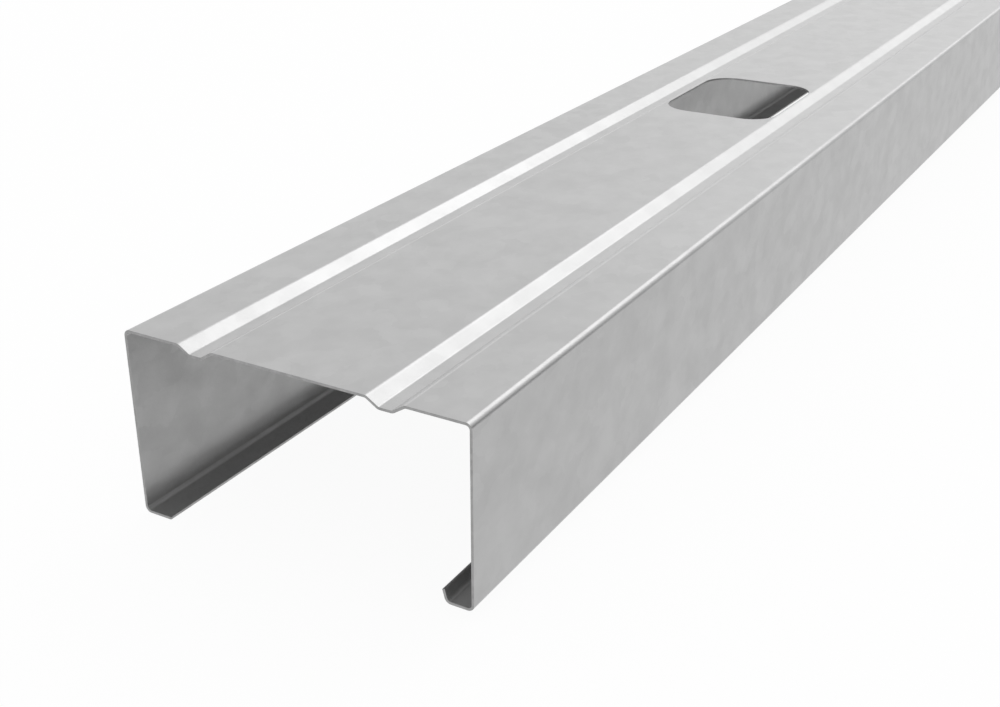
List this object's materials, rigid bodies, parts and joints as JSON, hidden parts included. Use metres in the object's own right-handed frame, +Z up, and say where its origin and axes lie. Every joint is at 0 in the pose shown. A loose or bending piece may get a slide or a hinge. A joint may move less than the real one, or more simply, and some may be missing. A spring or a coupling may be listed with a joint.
{
  "type": "steel stud",
  "caption": "Lipped channel stud rolled from thin galvanised steel for partition framing, with stiffening grooves and rounded service holes in its web.",
  "frame": {"origin": "on the floor under the middle of the channel: centre of the bounding box across and along, at its lowest level, which is the underside of the plain lip", "axes": "+X across the web towards the lower flange with the hooked lip, +Y along the length, +Z up, from the open side to the web"},
  "size_m": [0.07, 2.4, 0.0365],
  "materials": {
    "galvanised_steel": "bright hot-dip galvanised sheet with a faint cloudy mottling, satin"
  },
  "bodies": {
    "root": {"stud": "galvanised_steel"}
  },
  "joints": []
}
